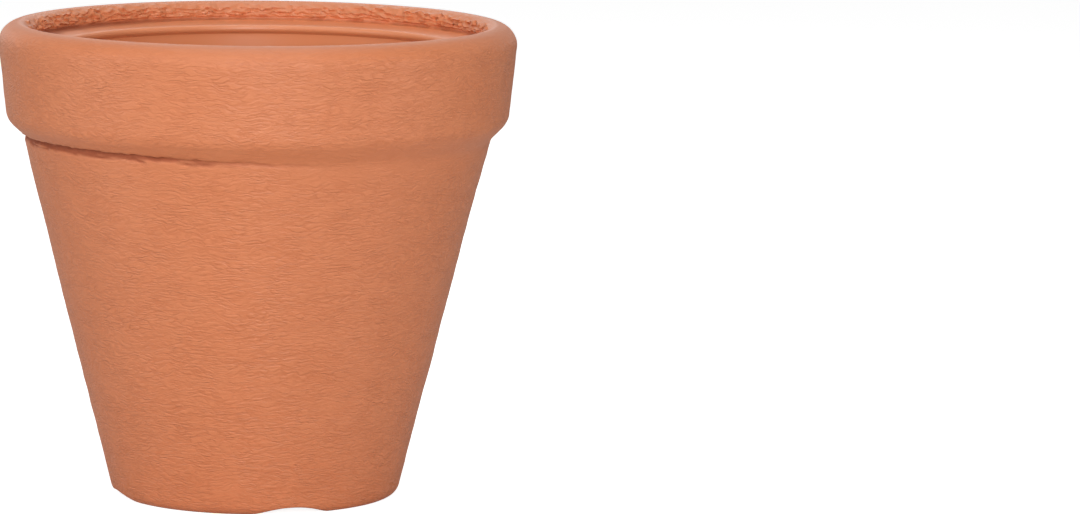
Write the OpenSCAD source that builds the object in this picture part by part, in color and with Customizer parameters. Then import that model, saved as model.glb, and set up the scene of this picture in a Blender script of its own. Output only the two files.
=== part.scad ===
// Round garden pot, moulded in one piece with a wall of even thickness. A deep band
// runs round the top, the lip turns over into a ledge inside the mouth, a short collar
// hangs from the ledge, and the underside stands on a ring with drain notches through it.
//
// Units are millimetres. The origin is the centre of the ground plane, +Z is up and
// the front faces -Y.

/* [Overall] */
// Largest outer diameter, at the lip
top_d = 305; // [230:1:460]
// Height from the ground to the crest of the lip
pot_h = 280; // [140:1:460]
// Diameter of the foot, where the side would meet the ground
foot_d = 168; // [140:1:240]
// Thickness of the moulded wall
wall = 4; // [2:0.1:4.8]

/* [Lip] */
// Outer radius of the lip, where it turns over from the band to the crest
lip_out_r = 12; // [8:0.5:20]
// Inner radius of the lip, where it turns down from the crest into the mouth
lip_in_r = 5; // [5:0.5:7.5]
// Depth of the lip's inner face, from the crest to the ledge
lip_depth = 11; // [8:0.5:40]
// Radius of the hollow where the inner face meets the ledge
ledge_hollow = 2.5; // [0.5:0.5:5]
// Width of the ledge, from the inner face to the mouth
ledge_w = 17; // [12:0.5:30]
// Fall of the ledge toward the mouth, in degrees
ledge_fall = 8; // [0:1:20]
// Height of the ledge's rounded nose, down to the groove under it
nose_h = 5; // [5:0.5:10]
// Radius of the nose's rounds
nose_r = 2; // [0.5:0.1:2.2]
// How far the nose stands out past the collar that hangs from it
nose_out = 2; // [1:0.1:2.4]
// Radius of the groove between the nose and the collar
groove_r = 0.5; // [0.3:0.1:1]
// Height of the collar below the groove
collar_h = 16; // [8:0.5:40]
// Radius of the bend behind the collar, where it leaves the ledge
collar_bend = 3; // [0.5:0.5:6]

/* [Band] */
// Height of the band, from the crest to its lower corner
band_h = 56.5; // [35:0.5:90]
// Lean of the band's face, inward on the way down, in degrees
band_lean = 6; // [0:0.5:10]
// Radius of the band's lower corner
band_round = 12; // [5:0.5:14]
// How far that corner, if it were sharp, would stand out past the body
band_step = 10; // [8:0.5:16]
// Height of the slope under the band
under_h = 9; // [6:0.5:16]
// Radius of the hollow where that slope meets the body
crease_r = 1.5; // [0.5:0.5:8]

/* [Foot] */
// Radius of the foot's outer corner
foot_round = 8; // [5:0.5:10]
// Width of the ring that the pot stands on, before its corners are rounded
ring_w = 16; // [14:0.5:26]
// Radius on the hollow side of the bends at the ring's inner edge and at the floor
step_round = 2; // [0.5:0.5:4]
// Number of drain notches through the ring
notch_n = 4; // [3:1:8]
// Width of each notch at the ground
notch_w = 42; // [20:1:50]
// Height of each notch
notch_h = 4.5; // [1:0.5:6]
// How far the floor stands above the top of the notches
floor_rise = 1.5; // [1:0.5:8]
// Slope of the step from the ring up to the floor, in degrees
step_slope = 60; // [45:5:75]
// Turn of the first notch from the front, toward +X, in degrees
notch_turn = 15.5; // [0:0.5:89]

/* [Drain holes] */
// Diameter of the hole in the middle of the floor
centre_hole_d = 16; // [6:1:30]
// Diameter of the holes round it
ring_hole_d = 12; // [5:1:20]
// Number of holes round the middle one
ring_hole_n = 4; // [3:1:8]
// Diameter of the circle that those holes are on
ring_hole_pcd = 80; // [50:1:90]

/* [Hidden] */
$fn = 144;
// How far a round laps the straights beside it, well under any tolerance of the moulding
lap = 0.002;

// The lip's two bends meet at the crest, with no flat between them.
crest_r = top_d / 2 - lip_out_r;
face_in_r = crest_r - lip_in_r;
// Where the leaning face of the band would meet the level of the crest
band_top_r = crest_r + lip_out_r * tan(45 + band_lean / 2);

// The ledge falls from the lip's inner face to its nose, and the collar hangs below.
mouth_r = face_in_r - ledge_w;
ledge_z = pot_h - lip_depth;
nose_z = ledge_z - ledge_w * tan(ledge_fall);
groove_z = nose_z - nose_h;
collar_r = mouth_r + nose_out;
collar_z = groove_z - collar_h;

band_low_r = band_top_r - band_h * tan(band_lean);
band_low_z = pot_h - band_h;
neck_r = band_low_r - band_step;
neck_z = band_low_z - under_h;

foot_r = foot_d / 2;
step_r = foot_r - ring_w;
floor_z = notch_h + floor_rise;
floor_r = step_r - floor_z / tan(step_slope);

// Corners of the face that is seen, as radius, height, and the radius of the bend there.
// They run up the collar and round the nose, then over the lip, down the outside and in
// under the floor to the axis. The slope under the nose is one in one.
NOSE = [
  [collar_r, collar_z, wall / 2],
  [collar_r, groove_z, groove_r],
  [mouth_r, groove_z + nose_out, nose_r],
  [mouth_r, nose_z, nose_r],
];
OUTER = [
  each NOSE,
  [face_in_r, ledge_z, ledge_hollow],
  [face_in_r, pot_h, lip_in_r],
  [band_top_r, pot_h, lip_out_r],
  [band_low_r, band_low_z, band_round],
  [neck_r, neck_z, crease_r],
  [foot_r, 0, foot_round],
  [step_r, 0, step_round + wall],
  [floor_r, floor_z, step_round],
  [0, floor_z, 0],
];

// Corners are [x, y, bend radius], and the solid lies to the right of the way they run.
function point(corners, i) = [corners[i][0], corners[i][1]];
function unit(v) = v / norm(v);
function right(v) = [v[1], -v[0]];
function heading(corners, i) =
  let (n = len(corners)) unit(point(corners, (i + 1) % n) - point(corners, (i + n) % n));
function turn(corners, i) =
  let (a = heading(corners, i - 1), b = heading(corners, i)) atan2(cross(a, b), a * b);
// Length that the bend at a corner takes from the straight on each side of it
function bend_run(corners, i) = corners[i][2] * tan(abs(turn(corners, i)) / 2);
function bend_start(corners, i) =
  point(corners, i) - heading(corners, i - 1) * bend_run(corners, i);
function bend_end(corners, i) = point(corners, i) + heading(corners, i) * bend_run(corners, i);

// The back face runs one wall behind the outer face, so a bend that turns left is wider
// there by one wall, and a bend that turns right is tighter.
function back_corner(i) =
  let (a = heading(OUTER, i - 1), b = heading(OUTER, i))
  let (p = point(OUTER, i) + wall * (right(a) + right(b)) / (1 + a * b))
  [p[0], p[1], OUTER[i][2] + sign(turn(OUTER, i)) * wall];

// The nose has no hollow behind it: the back of the ledge runs straight to the back of
// the collar, which ends in a full round.
collar_back_r = collar_r + wall;
collar_back_z = ledge_z - (face_in_r - collar_back_r) * tan(ledge_fall) - wall / cos(ledge_fall);
BACK = [
  [0, floor_z + wall, 0],
  for (i = [len(OUTER) - 2 : -1 : len(NOSE)]) back_corner(i),
  [collar_back_r, collar_back_z, collar_bend],
  [collar_back_r, collar_z, wall / 2],
];

// The round part of a corner: the disc that touches both straights, cut off a little
// way inside the line between the points that it touches. It laps the straights, so
// that the two cross and don't just touch.
module corner_round(corners, i) {
  r = corners[i][2];
  side = -sign(turn(corners, i));
  start = bend_start(corners, i);
  end = bend_end(corners, i);
  along = unit(end - start) * r;
  out = -side * right(unit(end - start));
  inset = out * min(r, wall) / 4;
  intersection() {
    translate(start + side * right(heading(corners, i - 1)) * r)
      circle(r + lap);
    polygon([
      start - along - inset,
      end + along - inset,
      end + along + out * r,
      start - along + out * r,
    ]);
  }
}

// A closed outline with its corners rounded by true arcs
module rounded_outline(corners) {
  last = len(corners) - 1;
  difference() {
    union() {
      polygon([
        for (i = [0 : last])
          each (corners[i][2] > 0 ? [bend_start(corners, i), bend_end(corners, i)]
                                  : [point(corners, i)])
      ]);
      for (i = [0 : last])
        if (corners[i][2] > 0 && turn(corners, i) < 0)
          corner_round(corners, i);
    }
    for (i = [0 : last])
      if (corners[i][2] > 0 && turn(corners, i) > 0)
        corner_round(corners, i);
  }
}

// A low arch that runs outward through the ring of the foot, grown by a margin
module notch_arch(margin) {
  arch_r = (pow(notch_w / 2, 2) + pow(notch_h, 2)) / (2 * notch_h);
  for (i = [0 : notch_n - 1])
    rotate(notch_turn - 90 + i * 360 / notch_n)
      translate([floor_r - wall, 0, notch_h - arch_r])
        rotate([0, 90, 0])
          cylinder(h = ring_w + 6 * wall, r = arch_r + margin);
}

// Keeps the wall at its thickness over the notches: it fills the trough inside the
// foot, from the middle of one wall to the middle of the other
module notch_roof() {
  intersection() {
    rotate_extrude()
      polygon([
        [step_r, wall / 2],
        [foot_r - wall / 2, wall / 2],
        [foot_r, floor_z + wall / 2],
        [floor_r, floor_z + wall / 2],
      ]);
    notch_arch(wall);
  }
}

module drain_holes() {
  translate([0, 0, floor_z - wall / 2])
    cylinder(h = 2 * wall, d = centre_hole_d);
  for (i = [0 : ring_hole_n - 1])
    rotate(notch_turn - 90 + (i + 0.5) * 360 / ring_hole_n)
      translate([ring_hole_pcd / 2, 0, floor_z - wall / 2])
        cylinder(h = 2 * wall, d = ring_hole_d);
}

module pot() {
  color([0.83, 0.52, 0.36])
    difference() {
      union() {
        rotate_extrude()
          rounded_outline(concat(OUTER, BACK));
        notch_roof();
      }
      notch_arch(0);
      drain_holes();
    }
}

pot();
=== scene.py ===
# %% [markdown]
# # A moulded flower pot
#
# The real pot is one shell of plastic, coloured right through like fired clay. Its mould
# gave it a deep band under a rolled-over lip, a finely wrinkled skin, and a ring to stand on
# with low drain notches. There is nothing to assemble, so this lesson is about one surface:
# first its true outline, then the relief of the skin, then the colour and the light.
#
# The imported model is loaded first, because it fixes the place and the size of everything.

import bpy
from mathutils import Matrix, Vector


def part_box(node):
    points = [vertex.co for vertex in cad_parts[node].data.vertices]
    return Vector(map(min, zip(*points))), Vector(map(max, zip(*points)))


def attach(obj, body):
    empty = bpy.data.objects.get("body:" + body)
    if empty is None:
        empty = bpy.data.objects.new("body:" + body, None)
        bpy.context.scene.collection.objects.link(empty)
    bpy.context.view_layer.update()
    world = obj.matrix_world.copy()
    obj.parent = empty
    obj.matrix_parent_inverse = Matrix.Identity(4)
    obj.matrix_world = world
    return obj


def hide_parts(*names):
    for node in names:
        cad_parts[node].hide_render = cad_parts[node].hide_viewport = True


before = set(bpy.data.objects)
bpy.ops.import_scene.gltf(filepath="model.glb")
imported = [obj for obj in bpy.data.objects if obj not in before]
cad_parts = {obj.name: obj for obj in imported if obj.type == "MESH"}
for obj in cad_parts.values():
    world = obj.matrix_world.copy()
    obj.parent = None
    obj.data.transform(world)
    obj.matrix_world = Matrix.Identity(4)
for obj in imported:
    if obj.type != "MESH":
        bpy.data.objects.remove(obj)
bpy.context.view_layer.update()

# %% Blender's own modules, and the unit
import bpy
import numpy as np
from collections import namedtuple
from math import atan2, copysign, cos, hypot, pi, radians, sin, sqrt, tan
from mathutils import Matrix, Vector, noise

MM = 0.001  # every size below is in millimetres, and Blender's unit is the metre

# %% [markdown]
# ## The outline
#
# The pot could be sculpted, or turned with a Screw modifier from a drawn curve. Here its
# outline is worked out the way the mould was drawn instead: a few corners, each with the
# radius of its bend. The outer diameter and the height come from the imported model, and the
# rest are the sizes of the moulding, so the skin lies where the solid's own faces are.

# %% Sizes of the moulding
_, pot_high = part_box("pot")
top_r = pot_high.x / MM
pot_tall = pot_high.z / MM
wall = 4.0

# The lip, the ledge inside it, and the collar that hangs under the ledge's nose
lip_out_bend, lip_in_bend = 12.0, 5.0
crest_r = top_r - lip_out_bend
lip_face_r = crest_r - lip_in_bend
lip_deep, hollow_bend = 11.0, 2.5
ledge_level = pot_tall - lip_deep
ledge_wide, ledge_fall = 17.0, radians(8)
nose_tall, nose_bend, nose_out = 5.0, 2.0, 2.0
groove_bend = 0.5
collar_tall, collar_bend = 16.0, 3.0

# The band, its lower corner, and the slope from there in to the body
band_tall, band_lean, band_bend = 56.5, radians(6), 12.0
band_step, under_tall = 10.0, 9.0
band_foot = pot_tall - band_tall

# The foot, the ring that it stands on, its notches, and the underside of the floor
foot_r, foot_bend = 84.0, 8.0
ring_wide, step_bend, step_slope = 16.0, 2.0, radians(60)
notch_count, notch_wide, notch_tall = 4, 42.0, 4.5
notch_turn = radians(15.5)
floor_rise = 1.5
floor_under = notch_tall + floor_rise
print(f"pot: {2 * top_r:.1f} mm across, {pot_tall:.1f} mm tall")

# %% [markdown]
# A corner is a place on the half section, as radius and height, with its bend's radius. The
# crease under the band is the one corner that isn't the same all round, so its bend, and how
# far it has slid down the side, are given when the corners are asked for.

# %% Corners of the outer face
Corner = namedtuple("Corner", "at bend")


def outer_corners(crease_bend, crease_drop):
    """Up the collar, round the nose, over the lip, down the outside and in under the floor."""
    mouth_r = lip_face_r - ledge_wide
    nose_z = ledge_level - ledge_wide * tan(ledge_fall)
    groove_z = nose_z - nose_tall
    band_top_r = crest_r + lip_out_bend * tan(pi / 4 + band_lean / 2)
    band_low_r = band_top_r - band_tall * tan(band_lean)
    neck_r, neck_z = band_low_r - band_step, band_foot - under_tall
    dropped_r = neck_r - (neck_r - foot_r) * crease_drop / neck_z
    step_r = foot_r - ring_wide
    floor_r = step_r - floor_under / tan(step_slope)
    return [Corner(np.array(at, float), bend) for at, bend in (
        ((mouth_r + nose_out, groove_z - collar_tall), wall / 2),
        ((mouth_r + nose_out, groove_z), groove_bend),
        ((mouth_r, groove_z + nose_out), nose_bend),
        ((mouth_r, nose_z), nose_bend),
        ((lip_face_r, ledge_level), hollow_bend),
        ((lip_face_r, pot_tall), lip_in_bend),
        ((band_top_r, pot_tall), lip_out_bend),
        ((band_low_r, band_foot), band_bend),
        ((dropped_r, neck_z - crease_drop), crease_bend),
        ((foot_r, 0), foot_bend),
        ((step_r, 0), step_bend + wall),
        ((floor_r, floor_under), step_bend),
        ((0, floor_under), 0),
    )]


print("corners of the face that is seen:", len(outer_corners(crease_bend=1.0, crease_drop=0.0)))

# %% [markdown]
# The back of the wall has the same corners moved in by one wall, so a bend that turns one way
# gets tighter there, and a bend that turns the other way gets wider. A Solidify modifier could
# thicken the skin too, but it would copy every wrinkle through to the smooth inside.

# %% Corners of the back face
def unit(way):
    return way / hypot(*way)


def right_of(way):
    return np.array([way[1], -way[0]])


def turn_between(way, next_way):
    """Signed angle from one heading to the next, positive to the left."""
    return atan2(way[0] * next_way[1] - way[1] * next_way[0], way @ next_way)


NOSE_CORNERS = 4  # the first corners, which have no hollow of their own behind them


def back_corners(outer):
    """The outer corners one wall further in, from the axis back up to the collar's edge."""
    back = []
    shell = outer[NOSE_CORNERS - 1:]
    for before, here, after in zip(shell, shell[1:], shell[2:]):
        way, next_way = unit(here.at - before.at), unit(after.at - here.at)
        at = here.at + wall * (right_of(way) + right_of(next_way)) / (1 + way @ next_way)
        back.append(Corner(at, here.bend + copysign(wall, turn_between(way, next_way))))
    axis = Corner(np.array([0.0, floor_under + wall]), 0)
    edge = Corner(outer[0].at + np.array([wall, 0]), wall / 2)
    edge_r = edge.at[0]
    under_z = ledge_level - (lip_face_r - edge_r) * tan(ledge_fall) - wall / cos(ledge_fall)
    behind_nose = Corner(np.array([edge_r, under_z]), collar_bend)
    return [axis] + back[::-1] + [behind_nose, edge]


print("corners behind it:", len(back_corners(outer_corners(crease_bend=1.0, crease_drop=0.0))))

# %% [markdown]
# The outline becomes rings of points. Each corner below has a count of rings round its bend
# and along the straight after it, so rings are spent where the eye needs them: the lip and
# the crease are fine, the long side is plainer, and the inside is coarse. The last column is
# how many points a ring has.

# %% How many rings and columns each stretch gets
FINEST, FINE, MEDIUM, COARSE = 896, 448, 224, 112
Stretch = namedtuple("Stretch", "name bend straight columns")
STRETCHES = [Stretch(*row) for row in (
    ("collar", 4, 6, MEDIUM),
    ("groove", 3, 2, MEDIUM),
    ("nose_under", 5, 1, MEDIUM),
    ("nose", 7, 7, FINE),
    ("hollow", 6, 8, FINEST),
    ("lip_in", 15, 0, FINEST),
    ("lip_out", 12, 17, FINE),
    ("band_corner", 9, 5, FINE),
    ("crease", 9, 72, MEDIUM),
    ("foot", 9, 4, MEDIUM),
    ("step", 6, 2, MEDIUM),
    ("floor_edge", 4, 7, COARSE),
    ("axis_under", 1, 0, 1),
    ("axis_inside", 1, 7, COARSE),
    ("floor_edge_back", 4, 2, COARSE),
    ("step_back", 4, 3, COARSE),
    ("foot_back", 6, 12, COARSE),
    ("crease_back", 6, 2, COARSE),
    ("band_corner_back", 6, 9, COARSE),
    ("lip_out_back", 8, 0, COARSE),
    ("lip_in_back", 4, 2, COARSE),
    ("hollow_back", 5, 4, COARSE),
    ("nose_back", 4, 3, MEDIUM),
    ("collar_back", 4, 2, MEDIUM),
)]
stretch_of = {stretch.name: stretch for stretch in STRETCHES}
print(f"{len(STRETCHES)} stretches, with up to {FINEST} points to a ring")

# %% Turn corners into points along the outline
def bend_frame(before, here, after):
    """Start of a corner's bend, its centre and how far it turns."""
    way, next_way = unit(here.at - before.at), unit(after.at - here.at)
    turn = turn_between(way, next_way)
    run = here.bend * tan(abs(turn) / 2)
    start = here.at - way * run
    return start, start + copysign(here.bend, -turn) * right_of(way), turn


def spin(way, angle):
    return np.array([way[0] * cos(angle) - way[1] * sin(angle),
                     way[0] * sin(angle) + way[1] * cos(angle)])


# Rings of the long side stand closer together near the crease, by this power
CROWDING = {"crease": 1.6}


def outline(crease_bend, crease_drop):
    """Points of the closed outline, ring after ring, and the stretch that each is on."""
    outer = outer_corners(crease_bend, crease_drop)
    corners = outer + back_corners(outer)
    points, names = [], []
    for i, (here, stretch) in enumerate(zip(corners, STRETCHES)):
        after = corners[(i + 1) % len(corners)]
        if here.bend:
            start, centre, turn = bend_frame(corners[i - 1], here, after)
            steps = [turn * k / (stretch.bend - 1) for k in range(stretch.bend)]
            points += [centre + spin(start - centre, angle) for angle in steps]
        else:
            points.append(here.at)
        end = points[-1]
        next_start = after.at
        if after.bend:
            next_start = bend_frame(here, after, corners[(i + 2) % len(corners)])[0]
        for k in range(stretch.straight):
            share = (k + 1) / (stretch.straight + 1)
            points.append(end + (next_start - end) * share ** CROWDING.get(stretch.name, 1))
        names += [stretch.name] * (len(points) - len(names))
    return np.array(points), names


sharp_outline, ring_names = outline(crease_bend=1.0, crease_drop=0.0)
soft_outline, _ = outline(crease_bend=11.0, crease_drop=0.0)
sagging_outline, _ = outline(crease_bend=13.0, crease_drop=3.4)
OUTLINES = (sharp_outline, soft_outline, sagging_outline)
print(f"outline: {len(ring_names)} rings")

# %% [markdown]
# ## The crease under the band
#
# Where the underside of the band meets the body, the moulding isn't the same all round. On
# one side the skin is folded into a tight, torn line, on the other it is a soft hollow, and
# between them at the front the hollow sags a little. All three outlines above have the same
# rings, so a point can be blended from them, which is simpler than bending a finished mesh.
# The share of each only depends on the angle round the pot. Angles start at the front, which
# is -Y, and grow toward +X.

# %% Blend helpers
def smooth_step(low, high, value):
    t = min(max((value - low) / (high - low), 0.0), 1.0)
    return t * t * (3 - 2 * t)


def tightness(angle):
    """1 where the crease is a tight fold, 0 where it is a soft hollow."""
    wander = 0.15 * noise.noise((3 * cos(angle), 3 * sin(angle), 7))
    return 1 - smooth_step(-0.6, 0.5, sin(angle) + wander)


def blended(values, angle):
    """One value from those of the sharp, the soft and the sagging outline."""
    tight, sag = tightness(angle), smooth_step(0.0, 0.5, cos(angle))
    sharp, soft, sagging = values
    return tight * sharp + (1 - tight) * ((1 - sag) * soft + sag * sagging)


def section_point(ring, angle):
    """Radius and height of a ring at this angle, before any relief."""
    return blended([points[ring] for points in OUTLINES], angle).tolist()


LEFT, FRONT, RIGHT = -pi / 2, 0.0, pi / 2
print("tight share at the left, the front and the right:",
      [round(tightness(angle), 2) for angle in (LEFT, FRONT, RIGHT)])

# %% [markdown]
# ## The relief of the skin
#
# Relief that a hand could feel is in the mesh: the waves of the side, the flaky, torn layer
# inside the lip, and the small folds in the crease. The fine wrinkles between, under 3 mm
# apart, would need more triangles than the whole pot has, so they come later as bump.
#
# Noise read at points in space wraps round the pot with no seam. The points are squeezed, so
# that what is noise in all directions becomes lines that run along the pot.

# %% Noise in millimetres
def waves(point, long, tall, seed=0.0):
    """Smooth noise from -1 to 1, `long` mm along the pot and `tall` mm up it."""
    x, y, z = point
    return noise.noise((x / long + seed, y / long - seed, z / tall + 2 * seed))


def side_relief(point, down):
    """Broad waves of the band and the side, in mm outward; down is mm past the crest."""
    broad = 0.35 * waves(point, 70, 45, 3)
    ripples = 0.22 * waves(point, 24, 7, 11) + 0.12 * waves(point, 13, 4.5, 23)
    return broad + ripples * smooth_step(4, 20, down)


def ring_round(radius, height, count=360):
    """Angles, and points on a level circle, to try a relief on."""
    for k in range(count):
        angle = 2 * pi * k / count
        yield angle, Vector((radius * sin(angle), -radius * cos(angle), height))


tried = [side_relief(point, 40) for angle, point in ring_round(top_r, pot_tall - 40)]
print(f"waves of the band: {min(tried):.2f} to {max(tried):.2f} mm")

# %% [markdown]
# Inside the lip the skin looks torn: ragged flakes lie over one another in rows, and under
# them a dark gap runs round the corner of the ledge, widest at the left, which is painted
# shade in the colour. A count of rows that wanders with a noise, and starts again at each
# whole number, gives the laps of the flakes. Sculpting them by hand would do as well, but it
# would be lost when a size changes.

# %% The torn layer inside the lip
def lapped(value, lip):
    """Laps like shingles: 1 just above each whole number, falling to 0 below the next."""
    part = value % 1.0
    return min((1 - part) / (1 - lip), 1.0) * smooth_step(0, lip, part)


def torn_relief(point, share, angle):
    """Flakes that stand proud of the lip's inner face; share is the height up that face."""
    sides = smooth_step(0.2, 0.9, abs(sin(angle)))
    wander = (0.6 * waves(point, 14, 8, 31) + 0.6 * waves(point, 5.5, 3.2, 37)
              + 0.35 * waves(point, 2.6, 1.9, 41))
    rows = 3.9 * share - 0.42 + 1.15 * wander
    flakes = 1.15 * lapped(rows, 0.14) * smooth_step(-0.25, 0.35, waves(point, 7, 4, 45) + 0.3)
    shred = 1.0 * waves(point, 4.6, 1.8, 43) + 0.5 * waves(point, 2.4, 1.4, 47)
    edge = 0.13 + 0.06 * wander
    below_crest = 1 - smooth_step(0.62, 0.95, share + 0.2 * wander)
    covered = smooth_step(edge, edge + 0.04, share) * below_crest
    return (0.5 + (1 + 0.5 * sides) * (flakes + shred)) * covered


def torn_gap_shade(point, angle):
    """Painted shade for the corner of the ledge under the torn layer, 0 to 1, by how deep it lies."""
    left = smooth_step(0.1, 0.85, -sin(angle))
    above = point.z - ledge_level
    inward = lip_face_r - hypot(point.x, point.y)
    ragged = 1.2 * waves(point, 9, 5, 61)
    on_face = 1 - smooth_step(0.6, 1.8, above + ragged * 0.5)
    on_ledge = 1 - smooth_step(0.4 + 4 * left, 2.2 + 9 * left, inward + ragged)
    return (0.55 + 0.35 * left) * min(on_face, on_ledge)


tried = [torn_relief(point, 0.5, angle)
         for angle, point in ring_round(lip_face_r, ledge_level + lip_deep / 2)]
print(f"torn layer, halfway up the lip: {min(tried):.2f} to {max(tried):.2f} mm")

# %% [markdown]
# In the tight part of the crease, the real skin has run together in a groove that wanders and
# forks, with ragged edges. Its path is a noise of the angle alone, and a second groove splits
# from it where another noise is high.

# %% Small folds in the crease
def trench(off, wide):
    """1 in the middle of a narrow groove, 0 beside it."""
    return max(1 - (off / wide) ** 2, 0.0) ** 2


fold_reach = 8  # mm from the crease to where its folds end


def fold_depth(point, below, angle):
    """Depth in mm of the wandering, forking groove; below is mm past the crease."""
    if abs(below) > fold_reach:
        return 0.0
    level = (point.x, point.y, 0.0)
    left = smooth_step(0.2, 0.9, -sin(angle))
    first = 0.5 + 0.7 * waves(level, 17, 1, 51) + 0.6 * waves(level, 5, 1, 52)
    second = first + 2.2 + 1.2 * waves(level, 12, 1, 53)
    forked = smooth_step(0.0, 0.3, waves(level, 22, 1, 54) + 0.3 * left)
    deep = 0.9 + 0.7 * left + 0.5 * waves(level, 8, 1, 55)
    return deep * trench(below - first, 2.0) + 0.9 * forked * trench(below - second, 1.4)


def torn_edge(point, below):
    """Ragged skin beside the groove, in mm outward."""
    return 0.8 * waves(point, 4, 1.5, 57) * max(1 - abs(below) / fold_reach, 0.0)


tried = [fold_depth(point, 0.5, angle) for angle, point in ring_round(top_r, band_foot)]
print(f"folds just past the crease: up to {max(tried):.2f} mm deep")

# %% [markdown]
# The relief needs to know how far along the outline a ring is. That distance is measured
# from the crest of the lip, downward on the outside. The folds need the distance from the
# crease instead, and that one differs between the three outlines, so it is blended too.

# %% Distances along the outline, and the way each ring faces
def distances_along(points):
    gaps = np.hypot(*(points[1:] - points[:-1]).T)
    return np.concatenate([[0], np.cumsum(gaps)])


def facing(points):
    """Unit vectors out of the surface, from the neighbours of each point."""
    ways = np.roll(points, -1, axis=0) - np.roll(points, 1, axis=0)
    ways /= np.maximum(np.hypot(*ways.T), 1e-9)[:, None]
    return np.column_stack([-ways[:, 1], ways[:, 0]])


rings_of = {name: [i for i, ring in enumerate(ring_names) if ring == name]
            for name in dict.fromkeys(ring_names)}
along = distances_along(soft_outline)
along = (along - along[rings_of["lip_out"][0]]).tolist()
crease_ring = rings_of["crease"][stretch_of["crease"].bend // 2]
crease_at = along[crease_ring]
past_crease = [distances_along(points) for points in OUTLINES]
past_crease = [(away - away[crease_ring]).tolist() for away in past_crease]
facings = [facing(points) for points in OUTLINES]
print(f"crest to crease {crease_at:.1f} mm, crest to foot {along[rings_of['foot'][0]]:.1f} mm")

# %% [markdown]
# A point of the skin starts on the blended outline, turned to its angle, and is then moved by
# the relief along the way that the surface faces. The real body doesn't hang quite under the
# middle of its band, so below the band the points are moved a little to the left. The last
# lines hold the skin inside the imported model's box.

# %% One point of the skin
OUTSIDE = {"lip_out", "band_corner", "crease", "foot"}
TORN = {"hollow", "lip_in"}


def on_ledge(ring):
    """Whether a ring is on the ledge itself, past the bend of its nose."""
    return ring_names[ring] == "nose" and ring - rings_of["nose"][0] >= stretch_of["nose"].bend


def relief(ring, angle, point):
    """How far the skin stands out, in mm, and how deep it lies in a fold, for painted shade."""
    name, down = ring_names[ring], along[ring]
    out = sunk = 0.0
    if name in OUTSIDE and down > 0:
        fade = smooth_step(0, 12, down) * smooth_step(2, 12, point.z)  # none at crest or ground
        below = blended([away[ring] for away in past_crease], angle)
        tight = tightness(angle)
        # Painted shade: the fold's depth also darkens the colour there.
        sunk = 1.25 * tight * fold_depth(point, below, angle)
        out = side_relief(point, down) * fade + tight * torn_edge(point, below) - sunk
    share = (point.z - ledge_level) / lip_deep
    if name in TORN and share > 0:
        out = torn_relief(point, share, angle)
    if name in TORN or on_ledge(ring):
        # Painted shade for the dark gap under the torn layer.
        sunk = torn_gap_shade(point, angle)
    return out, sunk


body_shift = 0.6  # how far the body is to the left of the band
shift_low, shift_high = band_foot - 45, band_foot - 10  # full below, none above
widest_r = top_r - 0.05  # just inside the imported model's box


def skin_point(ring, angle):
    """A point of the finished skin, in mm, and how deep it lies in a fold, for painted shade."""
    radius, height = section_point(ring, angle)
    point = Vector((radius * sin(angle), -radius * cos(angle), height))
    out_r, out_z = blended([ways[ring] for ways in facings], angle).tolist()
    out, sunk = relief(ring, angle, point)
    if out:
        point += out * Vector((out_r * sin(angle), -out_r * cos(angle), out_z)).normalized()
    point.x -= body_shift * (1 - smooth_step(shift_low, shift_high, point.z))
    reach = hypot(point.x, point.y)
    if reach > widest_r:
        point.x, point.y = point.x * widest_r / reach, point.y * widest_r / reach
    point.z = min(point.z, pot_tall)
    return point, sunk


low_point, _ = skin_point(rings_of["foot"][0], FRONT)
print("the skin where the foot's corner starts, at the front:", [round(x, 1) for x in low_point])

# %% [markdown]
# ## Drain notches
#
# The ring that the pot stands on has low arches through it. Cutting them with a Boolean
# would leave hard edges, and the real ones are soft where they run into the ring. So each
# point under an arch is lifted onto it, with a smooth maximum of the two heights that rounds
# the place where they meet. The inside of the wall is lifted too, and the wall keeps its
# thickness over the notch.

# %% Lift the ring over the notches
arch_r = ((notch_wide / 2) ** 2 + notch_tall ** 2) / (2 * notch_tall)
notch_soft = 1.2  # how far, in mm, the arch and the ring run into each other


def smooth_max(a, b, blend):
    gap = max(blend - abs(a - b), 0.0) / blend
    return max(a, b) + blend * gap * gap / 4


def arch_height(point, angle):
    """Height of the arch over this point, or None away from the notches."""
    pitch = 2 * pi / notch_count
    off = (angle - notch_turn + pitch / 2) % pitch - pitch / 2
    across = hypot(point.x, point.y) * sin(off)
    if abs(across) >= notch_wide:
        return None
    return sqrt(arch_r ** 2 - across ** 2) - arch_r + notch_tall


# The stretches that an arch lifts, and how much higher it is there
LIFTED = {"foot": 0, "step": 0, "step_back": wall, "foot_back": wall}


def lift_over_notch(ring, angle, point):
    margin = LIFTED.get(ring_names[ring])
    arch = None if margin is None else arch_height(point, angle)
    if arch is not None and point.z < 4 * notch_tall + 2 * wall:
        point.z = smooth_max(point.z, arch + margin, notch_soft)
    return point


print(f"{notch_count} notches, {notch_wide:.0f} by {notch_tall} mm, arch radius {arch_r:.1f} mm")

# %% [markdown]
# ## The mesh
#
# Rings of points are joined into one closed mesh. Equal rings are joined by four-sided faces.
# Where one ring has twice as many points as the next, three triangles bridge each pair of
# them, and at the axis a ring closes in a fan. Spinning one drawn outline would give the same
# number of points everywhere, far too many in the middle of the floor.

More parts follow.
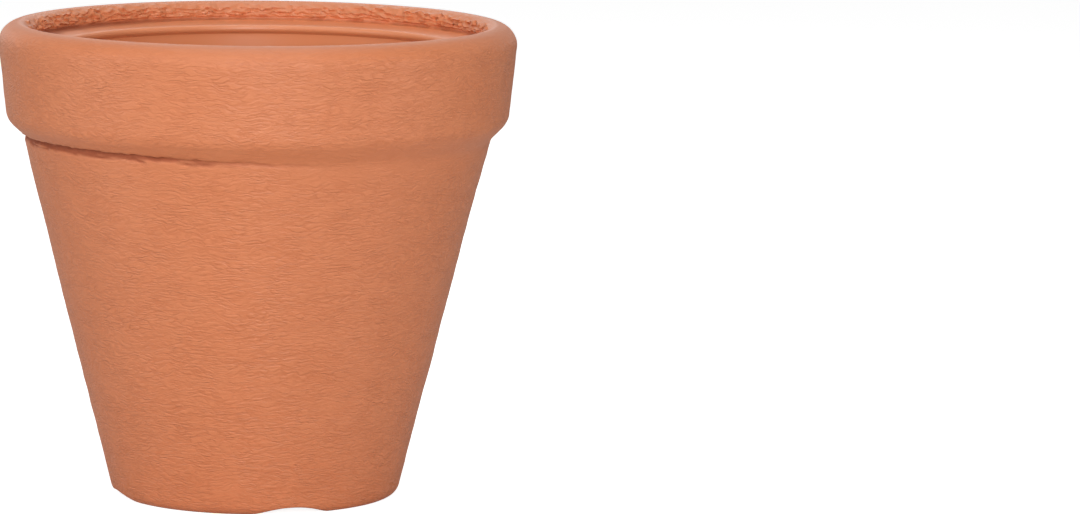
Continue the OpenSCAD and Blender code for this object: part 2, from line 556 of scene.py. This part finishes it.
# %% Join rings
def join_rings(a, b):
    """Faces between two rings of vertex numbers; their counts are equal or differ twofold."""
    faces = []
    if len(a) == len(b) == 1:
        return faces
    if len(a) == 1 or len(b) == 1:
        many, one = (b, a[0]) if len(a) == 1 else (a, b[0])
        for k in range(len(many)):
            this, following = many[k], many[(k + 1) % len(many)]
            faces.append((one, this, following) if len(a) == 1 else (this, one, following))
    elif len(a) == len(b):
        for k in range(len(a)):
            m = (k + 1) % len(a)
            faces.append((a[k], b[k], b[m], a[m]))
    elif len(a) == 2 * len(b):
        for k in range(len(b)):
            m, mid, far = (k + 1) % len(b), 2 * k + 1, (2 * k + 2) % len(a)
            faces += [(a[2 * k], b[k], a[mid]), (a[mid], b[k], b[m]), (a[mid], b[m], a[far])]
    else:
        for k in range(len(a)):
            m, mid, far = (k + 1) % len(a), 2 * k + 1, (2 * k + 2) % len(b)
            faces += [(a[k], b[2 * k], b[mid]), (a[k], b[mid], a[m]), (a[m], b[mid], b[far])]
    return faces


print("faces between rings of 4 and 8 points:", len(join_rings(range(4), range(4, 12))))

# %% Build the shell
CREASE_FINE = 22  # rings of the crease and just below it that keep the fine columns


def columns_at(ring):
    """How many points a ring has; at the axis it is a single one."""
    name = ring_names[ring]
    if soft_outline[ring][0] == 0:
        return 1
    if name == "crease" and ring - rings_of[name][0] < CREASE_FINE:
        return FINE
    return stretch_of[name].columns


def build_shell():
    """The whole shell as one mesh, with each vertex's ring and how deep in a fold it lies, for painted
    shade.
    """
    places, faces, rings, ring_of_vertex, sunk_at = [], [], [], [], []
    for ring in range(len(ring_names)):
        count = columns_at(ring)
        rings.append(range(len(places), len(places) + count))
        for k in range(count):
            angle = 2 * pi * k / count
            point, sunk = skin_point(ring, angle)
            places.append(lift_over_notch(ring, angle, point))
            ring_of_vertex.append(ring)
            sunk_at.append(min(sunk, 1.0))
    for a, b in zip(rings, rings[1:] + rings[:1]):
        faces += join_rings(a, b)
    mesh = bpy.data.meshes.new("pot_shell")
    mesh.from_pydata([place * MM for place in places], [], faces)
    return mesh, ring_of_vertex, sunk_at


shell_mesh, ring_of_vertex, sunk_at = build_shell()
print(f"shell: {len(shell_mesh.vertices)} points, {len(shell_mesh.polygons)} faces")

# %% [markdown]
# ## What the material will ask the mesh
#
# The finish changes over the pot: the side is wrinkled, the top of the lip is nearly bare,
# the strip inside the lip is flaky, and the moulding round the mouth is smooth and is painted
# a little paler, as painted light. A painted image could say where, but the mesh knows already
# which ring a point is on. So it carries four numbers on each point, and the material reads
# them: how wrinkled the skin is, how torn, how much it is the inner moulding, and how deep it
# is sunk in a fold or under the torn layer, which the colour turns into painted shade.

# %% How wrinkled and how torn each ring is
def wrinkled(ring):
    """Full on the side, less over the lip and round the crease, none on the smooth inside."""
    name = ring_names[ring]
    if name in OUTSIDE:
        down = along[ring]
        under = smooth_step(crease_at - 14, crease_at - 7, down) * (
            1 - smooth_step(crease_at + 3, crease_at + 16, down))
        return (0.3 + 0.7 * smooth_step(5, 17, down)) * (1 - 0.5 * under)
    return 0.15 if name == "lip_in" else 0.0


def torn(ring):
    """Full on the lower part of the lip's inner face, less toward the crest."""
    return {"hollow": 1.0, "lip_in": 0.6}.get(ring_names[ring], 0.0)


INNER = {"collar", "groove", "nose_under", "nose", "collar_back"}


def inner(ring):
    """The smooth moulding inside the mouth, which shows a little under the torn layer too; its paler
    colour is painted light.
    """
    name = ring_names[ring]
    return 0.9 if name in INNER else 0.4 if name in TORN else 0.0


# %% Numbers on the points
def give_number(mesh, name, values):
    layer = mesh.attributes.new(name, "FLOAT", "POINT")
    layer.data.foreach_set("value", values)
    print(f"{name}: mean {sum(values) / len(values):.3f}, most {max(values):.2f}")


for name, rule in (("wrinkled", wrinkled), ("torn", torn), ("inner", inner)):
    by_ring = [rule(ring) for ring in range(len(ring_names))]
    give_number(shell_mesh, name, [by_ring[ring] for ring in ring_of_vertex])
# How deep a point lies in a fold or under the torn layer, which the material turns into painted shade.
give_number(shell_mesh, "sunk", sunk_at)

# %% The pot as an object
shell_mesh.polygons.foreach_set("use_smooth", [True] * len(shell_mesh.polygons))
pot = bpy.data.objects.new("pot_shell", shell_mesh)
bpy.context.collection.objects.link(pot)
heights = [vertex.co.z / MM for vertex in shell_mesh.vertices]
print(f"{pot.name}: {min(heights):.2f} to {max(heights):.2f} mm above the ground")

# %% [markdown]
# ## Drain holes
#
# Water drains through a wide hole in the middle of the floor and four smaller ones round it.
# They are true cylinders with crisp edges, so they are cut with a Boolean, where rings of
# points would have to be bent round each hole. All the cutters are one mesh, so one modifier
# makes every hole.

# %% Cut the holes
centre_hole_r, ring_hole_r, ring_hole_count, ring_hole_at = 8.0, 6.0, 4, 40.0


def hole_places():
    yield 0.0, 0.0, centre_hole_r
    for k in range(ring_hole_count):
        angle = notch_turn + (k + 0.5) * 2 * pi / ring_hole_count
        yield ring_hole_at * sin(angle), -ring_hole_at * cos(angle), ring_hole_r


def hole_cutters(sides=48):
    """All the cutters as one mesh of upright cylinders, through the floor and past it."""
    places, faces = [], []
    turns = [2 * pi * k / sides for k in range(sides)]
    for x, y, radius in hole_places():
        first = len(places)
        for z in (floor_under - wall, floor_under + 2 * wall):
            places += [(x + radius * cos(turn), y + radius * sin(turn), z) for turn in turns]
        low, high = range(first, first + sides), range(first + sides, first + 2 * sides)
        faces += [tuple(low)[::-1], tuple(high)]
        for k in range(sides):
            m = (k + 1) % sides
            faces.append((low[k], low[m], high[m], high[k]))
    mesh = bpy.data.meshes.new("hole_cutters")
    mesh.from_pydata([Vector(place) * MM for place in places], [], faces)
    return bpy.data.objects.new("hole_cutters", mesh)


def apply_modifiers(piece):
    """Replaces a piece's mesh with what its modifiers make of it."""
    seen = piece.evaluated_get(bpy.context.evaluated_depsgraph_get())
    piece.data = bpy.data.meshes.new_from_object(seen)
    piece.modifiers.clear()


cutters = hole_cutters()
bpy.context.collection.objects.link(cutters)
cut = pot.modifiers.new("drain_holes", "BOOLEAN")
cut.operation, cut.solver, cut.object = "DIFFERENCE", "MANIFOLD", cutters
apply_modifiers(pot)
bpy.data.objects.remove(cutters)
pot.data.set_sharp_from_angle(angle=radians(50))
pot.data.calc_loop_triangles()
print(f"pot with holes: {len(pot.data.loop_triangles)} triangles")

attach(pot, "root")
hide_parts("pot")

# %% [markdown]
# ## Shader maths as plain arithmetic
#
# A material's pattern is a sum of products of noises. Wiring Math nodes by hand hides that,
# so a small class wraps a node's output and lets Python's own operators add the nodes. Vectors
# and colours keep their own nodes, because a Math node would turn a colour grey.

# %% A node's output that can be reckoned with
class Wire:
    """An output in a node tree. Arithmetic on numbers adds Math nodes."""

    def __init__(self, tree, output):
        self.tree, self.output = tree, output

    def node(self, kind, settings, values, output=0):
        return add_node(self.tree, kind, settings, values, output)

    def maths(self, operation, first, second):
        return self.node("ShaderNodeMath", {"operation": operation}, {0: first, 1: second})

    def __add__(self, other):
        return self.maths("ADD", self, other)

    def __sub__(self, other):
        return self.maths("SUBTRACT", self, other)

    def __rsub__(self, other):
        return self.maths("SUBTRACT", other, self)

    def __mul__(self, other):
        return self.maths("MULTIPLY", self, other)

    def __abs__(self):
        return self.maths("ABSOLUTE", self, 0)

    __radd__, __rmul__ = __add__, __mul__


def add_node(tree, kind, settings, values, output=0):
    """Adds a node: its settings first, then what its sockets hold or are linked to."""
    made = tree.nodes.new(kind)
    for name, value in settings.items():
        setattr(made, name, value)
    for socket, value in values.items():
        if isinstance(value, Wire):
            tree.links.new(value.output, made.inputs[socket])
        else:
            made.inputs[socket].default_value = value
    return Wire(tree, made.outputs[output]) if made.outputs else None


def vector_maths(operation, first, second):
    return first.node("ShaderNodeVectorMath", {"operation": operation}, {0: first, 1: second})


def mix_colours(factor, first, second):
    """The first colour where the factor is 0, the second where it is 1."""
    return factor.node("ShaderNodeMix", {"data_type": "RGBA"}, {0: factor, 6: first, 7: second}, 2)


def new_material(name):
    """A material with an empty node tree."""
    made = bpy.data.materials.new(name)
    made.use_nodes = True
    made.node_tree.nodes.clear()
    return made


# %% [markdown]
# ## The finish of the pot
#
# The real skin is covered in fine wrinkles about 2 mm apart, like a thin hide. A picture of
# such a skin could be laid over the pot, but it would have a seam and would repeat, so they
# are made of noise. It is squeezed in height like the relief was, and then bent by slower
# noises, so that its lines wander, fork and close. Thin lines where one noise crosses its
# middle are cut in as furrows, and two plain noises give the soft swelling and the small curls
# between them. Where the mesh says that the skin is bare, all of it fades out.

# %% Wrinkles
def squeezed(place, long, tall, seed):
    """Places in millimetres, scaled so that noise of size 1 is `long` by `tall` mm."""
    scaled = vector_maths("MULTIPLY", place, (1 / long, 1 / long, 1 / tall))
    return vector_maths("ADD", scaled, (seed, -seed, 2 * seed))


def cloud(place, long, tall, seed, detail=1.0, roughness=0.5, distortion=0.0):
    """Noise from 0 to 1."""
    values = {"Vector": squeezed(place, long, tall, seed), "Scale": 1.0, "Detail": detail,
              "Roughness": roughness, "Distortion": distortion}
    return place.node("ShaderNodeTexNoise", {"noise_dimensions": "3D"}, values)


def bent(place, amount, long, tall, seed):
    """Places moved up or down, by up to about half of amount in mm."""
    lift = (cloud(place, long, tall, seed) - 0.5) * amount
    return vector_maths("ADD", place, place.node("ShaderNodeCombineXYZ", {}, {2: lift}))


def thin_lines(place, long, tall, seed, sharpness=7):
    """Lines from 0 to 1, where a noise passes through its middle value."""
    off = abs(cloud(place, long, tall, seed) - 0.5) * sharpness
    return 1 - off.node("ShaderNodeClamp", {}, {0: off})


def wrinkle_height(place):
    """Height of the fine wrinkles in mm, and how deep in a furrow each place is."""
    wandering = bent(bent(place, 7, 30, 18, 4), 2.6, 7, 5, 9)
    swelling = cloud(wandering, 8.5, 1.9, 17, detail=2.0, roughness=0.6) - 0.5
    furrows = thin_lines(wandering, 8, 1.9, 13) * cloud(place, 16, 9, 27)
    curls = cloud(wandering, 3.6, 1.7, 21, distortion=0.6) - 0.5
    in_patches = cloud(place, 34, 20, 25) - 0.1
    return 0.4 * swelling - 0.4 * furrows + 0.56 * curls * in_patches, furrows


# %% [markdown]
# The plastic is the colour of fired clay all through, a little uneven, and neither shiny nor
# quite dull. Furrows are painted somewhat darker, and folds and the gap under the torn layer
# much darker, as painted shade, and folds are duller too; the moulding inside the mouth is
# painted paler, as painted light, and is smoother. One material with the numbers from the mesh
# keeps those changes soft, where separate materials would meet in hard lines.

# %% Colours of the plastic
CLAY, PALE_CLAY = (0.635, 0.2, 0.079, 1), (0.665, 0.225, 0.095, 1)
# Painted shade: the next two colours darken the furrows, and the folds and the gap under the torn
# layer.
FURROW_SHADE, FOLD_SHADE = (0.5, 0.135, 0.045, 1), (0.3, 0.065, 0.022, 1)
# Painted light: the inside of the mouth is made paler.
LIT_INNER_CLAY = (0.86, 0.305, 0.135, 1)
CARRIED = ("wrinkled", "torn", "inner", "sunk")


def carried(tree, name):
    """A number that the mesh carries on its points."""
    return add_node(tree, "ShaderNodeAttribute", {"attribute_name": name}, {}, "Fac")


def plastic_colour(place, furrow_shade, inner, sunk):
    tint = cloud(place, 30, 22, 41, detail=2.0)
    colour = mix_colours(tint, CLAY, PALE_CLAY)
    # Painted shade: the furrows are darkened in the colour.
    colour = mix_colours(furrow_shade * 0.6, colour, FURROW_SHADE)
    # Painted light: the inside of the mouth and the torn strip are made paler.
    colour = mix_colours(inner, colour, LIT_INNER_CLAY)
    # Painted shade: folds and the gap under the torn layer are darkened in the colour.
    return mix_colours(sunk * 0.9, colour, FOLD_SHADE)


# %% The plastic
def pot_plastic():
    material = new_material("pot_plastic")
    tree = material.node_tree
    place_m = add_node(tree, "ShaderNodeTexCoord", {}, {}, "Object")
    place = vector_maths("MULTIPLY", place_m, (1 / MM,) * 3)
    wrinkled, torn, inner, sunk = [carried(tree, name) for name in CARRIED]
    wrinkles, furrows = wrinkle_height(place)
    flakes = cloud(place, 3.2, 1.5, 33, detail=2.0, roughness=0.6)
    bump = place.node("ShaderNodeBump", {}, {
        "Strength": 1.0, "Distance": MM, "Height": wrinkles * wrinkled + flakes * torn * 0.9}, "Normal")
    shader = place.node("ShaderNodeBsdfPrincipled", {}, {
        "Base Color": plastic_colour(place, furrows * wrinkled, inner, sunk),
        "Roughness": 0.5 + 0.3 * sunk - 0.15 * inner - 0.06 * torn, "Normal": bump}, "BSDF")
    shader.node("ShaderNodeOutputMaterial", {}, {"Surface": shader})
    print(f"{material.name}: {len(tree.nodes)} nodes")
    return material


pot.data.materials.clear()
pot.data.materials.append(pot_plastic())

# %% [markdown]
# ## The studio
#
# The pot stands on a pale floor in front of white. Lighting a backdrop until it is white would
# light the pot too, so the floor and the world are only that white to the camera. In gloss
# the world is dimmer, and what lights the pot is a dim sky and a few soft lamps, so its
# colours come out about as they are written. The floor still takes the pot's shadow.

# %% White where it is seen
def ray_kind(tree, name):
    """1 for rays of the named kind, 0 for the others."""
    return add_node(tree, "ShaderNodeLightPath", {}, {}, name)


def seen_rays(tree):
    """1 for rays from the camera, and for those bent by glass."""
    direct = ray_kind(tree, "Is Camera Ray")
    return direct.maths("MAXIMUM", direct, ray_kind(tree, "Is Transmission Ray"))


def pale_floor():
    material = new_material("pale_floor")
    tree = material.node_tree
    lit = add_node(tree, "ShaderNodeBsdfDiffuse", {}, {"Color": (0.8, 0.8, 0.8, 1)})
    glow = add_node(tree, "ShaderNodeEmission", {}, {"Color": (1, 1, 1, 1), "Strength": 0.9})
    shown = lit.node("ShaderNodeAddShader", {}, {0: lit, 1: glow})
    mixed = lit.node("ShaderNodeMixShader", {}, {0: seen_rays(tree), 1: lit, 2: shown})
    mixed.node("ShaderNodeOutputMaterial", {}, {"Surface": mixed})
    return material


def white_world(sky, mirrored):
    """White to the camera, less in gloss, and dim as the light that falls on things."""
    world = bpy.data.worlds.new("studio")
    world.use_nodes = True
    tree = world.node_tree
    tree.nodes.clear()
    light, gloss, white = (
        add_node(tree, "ShaderNodeBackground", {}, {"Color": (1, 1, 1, 1), "Strength": strength})
        for strength in (sky, mirrored, 1.0))
    glossy = ray_kind(tree, "Is Glossy Ray")
    mixed = light.node("ShaderNodeMixShader", {}, {0: glossy, 1: light, 2: gloss})
    mixed = light.node("ShaderNodeMixShader", {}, {0: seen_rays(tree), 1: mixed, 2: white})
    mixed.node("ShaderNodeOutputWorld", {}, {"Surface": mixed})
    return world


# %% Floor and world
floor_half = 12.0  # metres
floor_corners = [(x * floor_half, y * floor_half, 0) for x, y in ((-1, -1), (1, -1), (1, 1), (-1, 1))]
floor_mesh = bpy.data.meshes.new("floor")
floor_mesh.from_pydata(floor_corners, [], [(0, 1, 2, 3)])
floor = bpy.data.objects.new("floor", floor_mesh)
floor.data.materials.append(pale_floor())
bpy.context.collection.objects.link(floor)
bpy.context.scene.world = white_world(sky=0.04, mirrored=0.75)
print(f"floor: {2 * floor_half:.0f} m square")

# %% [markdown]
# One big soft lamp near the camera shows the pot's colour, and weaker ones from above and from
# both sides give it its roundness: a bright lip, a shadow under the band, and edges that don't
# go black. Two faint ones from behind pick out the far lip and show the back.

# %% Lamps
MIDDLE = Vector((0, 0, pot_tall * MM / 2))
LAMPS = (
    # name, place in metres, size in metres, watts
    ("front", (0.25, -2.5, 0.86), 1.0, 33),
    ("high", (0.1, -1.4, 2.2), 1.4, 8),
    ("high_left", (-1.5, -1.6, 1.6), 1.4, 11),
    ("top", (0.0, 0.3, 2.4), 1.4, 11),
    ("low_left", (-2.2, -0.8, 0.5), 0.8, 12),
    ("low_right", (2.1, -1.1, 0.28), 0.6, 9),
    ("edge", (-1.2, 2.0, 0.6), 1.2, 3),
    ("back", (0.0, 1.7, 1.5), 1.2, 4),
)


def soft_lamp(name, place, aim, size, watts):
    """A round area lamp that points at the aim."""
    lamp = bpy.data.lights.new(name, "AREA")
    lamp.shape, lamp.size, lamp.energy = "DISK", size, watts
    lit = bpy.data.objects.new(name, lamp)
    lit.location = place
    lit.rotation_euler = (aim - Vector(place)).to_track_quat("-Z", "Y").to_euler()
    bpy.context.collection.objects.link(lit)


for name, place, size, watts in LAMPS:
    soft_lamp(name, place, MIDDLE, size, watts)
print(f"{len(LAMPS)} lamps, {sum(watts for *_, watts in LAMPS)} W together")

# %% [markdown]
# ## The camera
#
# A long lens from well back keeps the pot's sides nearly straight. It looks down a little,
# enough to see over the near lip onto the ledge at the back, and it aims to the right of
# the pot, which stands at the left of the picture.

# %% Camera
camera_away, camera_rise, camera_roll = 3.7, radians(7.645), radians(0.63)
view_wide = 0.639621  # metres that the picture spans at the pot's middle
beside = Vector((0.1674, 0, 0.0015))  # from the pot's middle to the aim, in metres
camera_data = bpy.data.cameras.new("camera")
camera_data.sensor_width = 36.0
camera_data.lens = camera_data.sensor_width * camera_away / view_wide
camera = bpy.data.objects.new("camera", camera_data)
camera.location = MIDDLE + camera_away * Vector((0, -cos(camera_rise), sin(camera_rise)))
looking = (MIDDLE + beside - camera.location).to_track_quat("-Z", "Y").to_matrix()
camera.rotation_euler = (looking @ Matrix.Rotation(camera_roll, 3, "Z")).to_euler()
bpy.context.collection.objects.link(camera)
bpy.context.scene.camera = camera
bpy.context.scene.view_settings.view_transform = "Standard"
print(f"camera: {camera_data.lens:.1f} mm lens, {camera_away} m away")
